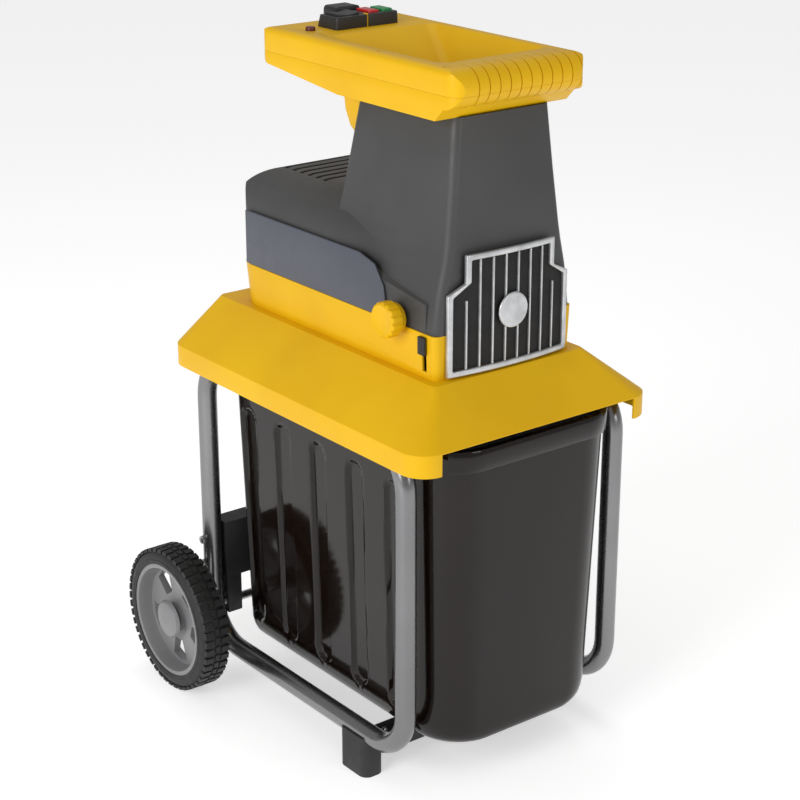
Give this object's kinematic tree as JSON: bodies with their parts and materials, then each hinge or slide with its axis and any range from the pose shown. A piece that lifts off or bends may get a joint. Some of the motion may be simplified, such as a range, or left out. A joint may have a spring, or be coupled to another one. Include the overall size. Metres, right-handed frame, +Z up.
{
  "type": "garden shredder",
  "caption": "Wheeled electric garden shredder with a top hopper on a tower, drum cutter, geared motor and a slide-out smoked collection box under the deck.",
  "frame": {"origin": "on the ground, in the middle of the outline seen from above", "axes": "+Z up, -Y towards the front where the grille is and the box slides out, +X to the right seen from the front"},
  "size_m": [0.4994, 0.576, 0.917],
  "materials": {
    "frame_steel": "satin grey coated steel tube",
    "yellow_plastic": "moulded yellow polypropylene, fine grain",
    "dark_plastic": "moulded anthracite plastic, fine grain",
    "panel_plastic": "moulded blue-grey plastic, fine grain",
    "black_plastic": "black moulded plastic",
    "smoked_plastic": "smoked brown translucent plastic",
    "silver_plastic": "silver painted plastic",
    "rim_plastic": "silver-grey moulded rim",
    "tyre": "black moulded rubber tread",
    "rubber": "hard black rubber",
    "zinc_steel": "zinc plated",
    "tool_steel": "ground and hardened",
    "cast_aluminium": "as cast",
    "red_plastic": "glossy red",
    "green_plastic": "glossy green",
    "copper_iron": "laminated iron with windings"
  },
  "bodies": {
    "chassis": {"left_frame_tube": "frame_steel", "right_frame_tube": "frame_steel", "rear_cross_member": "black_plastic", "front_cross_member": "black_plastic", "left_foot": "rubber", "right_foot": "rubber", "foot_screws": "zinc_steel", "frame_bolts": "zinc_steel", "wheel_axle": "zinc_steel", "axle_retainers": "zinc_steel", "deck": "yellow_plastic", "deck_screws": "zinc_steel", "left_guide_rail": "zinc_steel", "right_guide_rail": "zinc_steel", "lower_housing": "yellow_plastic", "upper_housing": "dark_plastic", "left_side_panel": "panel_plastic", "right_side_panel": "panel_plastic", "grille_frame": "silver_plastic", "grille_backing": "black_plastic", "grille_bars": "silver_plastic", "grille_disc": "silver_plastic", "hopper_upper_shell": "yellow_plastic", "hopper_lower_shell": "yellow_plastic", "hopper_screws": "zinc_steel", "feed_chute": "black_plastic", "cutter_housing": "cast_aluminium", "shaft_bearings": "tool_steel", "gearbox_casing": "cast_aluminium", "gearbox_cover": "cast_aluminium", "motor_stator": "copper_iron", "front_motor_shield": "cast_aluminium", "rear_motor_shield": "cast_aluminium", "motor_capacitor": "black_plastic", "switch_box": "black_plastic", "power_inlet": "black_plastic", "interlock_switch": "black_plastic", "discharge_chute": "black_plastic"},
    "left_wheel": {"left_tyre": "tyre", "left_wheel_rim": "rim_plastic", "left_hub_cap": "rim_plastic"},
    "right_wheel": {"right_tyre": "tyre", "right_wheel_rim": "rim_plastic", "right_hub_cap": "rim_plastic"},
    "box": {"collection_box": "smoked_plastic"},
    "knob": {"adjusting_knob": "yellow_plastic"},
    "plate": {"pressure_plate": "cast_aluminium", "pressure_screw": "zinc_steel"},
    "drum": {"cutting_drum": "tool_steel", "drum_shaft": "tool_steel", "drum_gear": "tool_steel"},
    "lay_gears": {"lay_gear": "tool_steel", "lay_shaft": "tool_steel"},
    "motor_shaft": {"motor_rotor": "tool_steel", "cooling_fan": "black_plastic"},
    "start_key": {"start_button": "green_plastic"},
    "stop_key": {"stop_button": "red_plastic"},
    "reset_key": {"reset_button": "red_plastic"},
    "rocker": {"direction_rocker": "black_plastic"},
    "box_lock": {"box_lock_slider": "black_plastic"}
  },
  "joints": [
    {"name": "left_wheel_spin", "type": "hinge", "parent": "chassis", "child": "left_wheel", "pos_m": [-0.2275, 0.188, 0.1], "axis": [1, 0, 0], "continuous": true},
    {"name": "right_wheel_spin", "type": "hinge", "parent": "chassis", "child": "right_wheel", "pos_m": [0.2275, 0.188, 0.1], "axis": [1, 0, 0], "continuous": true},
    {"name": "box_slide", "type": "slide", "parent": "chassis", "child": "box", "axis": [0, -1, 0], "range_m": [0, 0.42]},
    {"name": "knob_turn", "type": "hinge", "parent": "chassis", "child": "knob", "pos_m": [-0.124, -0.151, 0.593], "axis": [1, 0, 0], "range_deg": [-720.5, 0.5]},
    {"name": "plate_slide", "type": "slide", "parent": "chassis", "child": "plate", "axis": [1, 0, 0], "range_m": [-0.0025, 0]},
    {"name": "drum_spin", "type": "hinge", "parent": "chassis", "child": "drum", "pos_m": [0.025, -0.148, 0.6], "axis": [0, 1, 0], "continuous": true},
    {"name": "lay_spin", "type": "hinge", "parent": "chassis", "child": "lay_gears", "pos_m": [-0.0408, -0.07, 0.6046], "axis": [0, 1, 0], "continuous": true},
    {"name": "motor_spin", "type": "hinge", "parent": "chassis", "child": "motor_shaft", "pos_m": [0, 0.02, 0.64], "axis": [0, 1, 0], "continuous": true},
    {"name": "start_press", "type": "slide", "parent": "chassis", "child": "start_key", "axis": [0, 0, 1], "range_m": [-0.0025, 0], "stiffness_N_per_m": 400, "springref_m": 0.001},
    {"name": "stop_press", "type": "slide", "parent": "chassis", "child": "stop_key", "axis": [0, 0, 1], "range_m": [-0.0025, 0], "stiffness_N_per_m": 400, "springref_m": 0.001},
    {"name": "reset_press", "type": "slide", "parent": "chassis", "child": "reset_key", "axis": [0, 0, 1], "range_m": [-0.003, 0], "stiffness_N_per_m": 400, "springref_m": 0.001},
    {"name": "rocker_tip", "type": "hinge", "parent": "chassis", "child": "rocker", "pos_m": [-0.024, 0.073, 0.908], "axis": [0, 1, 0], "range_deg": [-9, 9]},
    {"name": "box_lock_slide", "type": "slide", "parent": "chassis", "child": "box_lock", "axis": [0, 0, 1], "range_m": [-0.014, 0]}
  ],
  "couplings": [
    {"joint": "knob_turn", "follows": "plate_slide", "rad_per_m": 5026.5},
    {"joint": "lay_spin", "follows": "drum_spin", "ratio": -4.5},
    {"joint": "motor_spin", "follows": "drum_spin", "ratio": 22.5}
  ]
}
